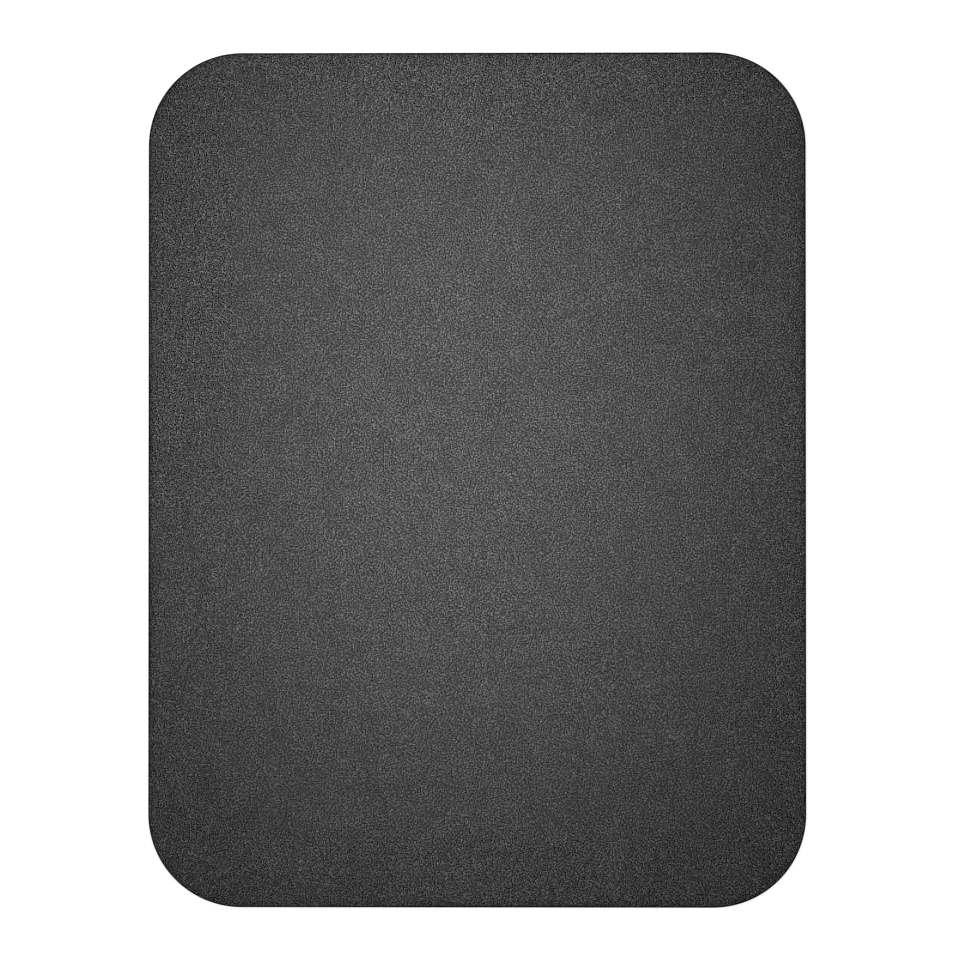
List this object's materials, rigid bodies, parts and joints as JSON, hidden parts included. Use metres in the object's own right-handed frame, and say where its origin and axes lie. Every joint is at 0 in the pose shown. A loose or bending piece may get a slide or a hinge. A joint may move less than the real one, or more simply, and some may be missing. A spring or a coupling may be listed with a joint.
{
  "type": "magnetic phone mount plate",
  "caption": "Thin rectangular steel plate with round corners, a fine dark coat and an adhesive back, for a magnetic phone mount to grip.",
  "frame": {"origin": "middle of the release liner's underside, which is the surface that the part lies on, below the middle of the plate", "axes": "+X across the plate, +Y along its length with the liner's finger tab at the -Y end, +Z out of the face that the magnet grips"},
  "size_m": [0.05, 0.065, 0.0014],
  "materials": {
    "black_coat": "fine-textured matt charcoal powder coat on sheet steel",
    "foam_tape": "dark closed-cell acrylic foam tape",
    "liner_paper": "smooth coated release paper, cream white"
  },
  "bodies": {
    "root": {"steel_plate": "black_coat", "adhesive_pad": "foam_tape", "release_liner": "liner_paper"}
  },
  "joints": []
}
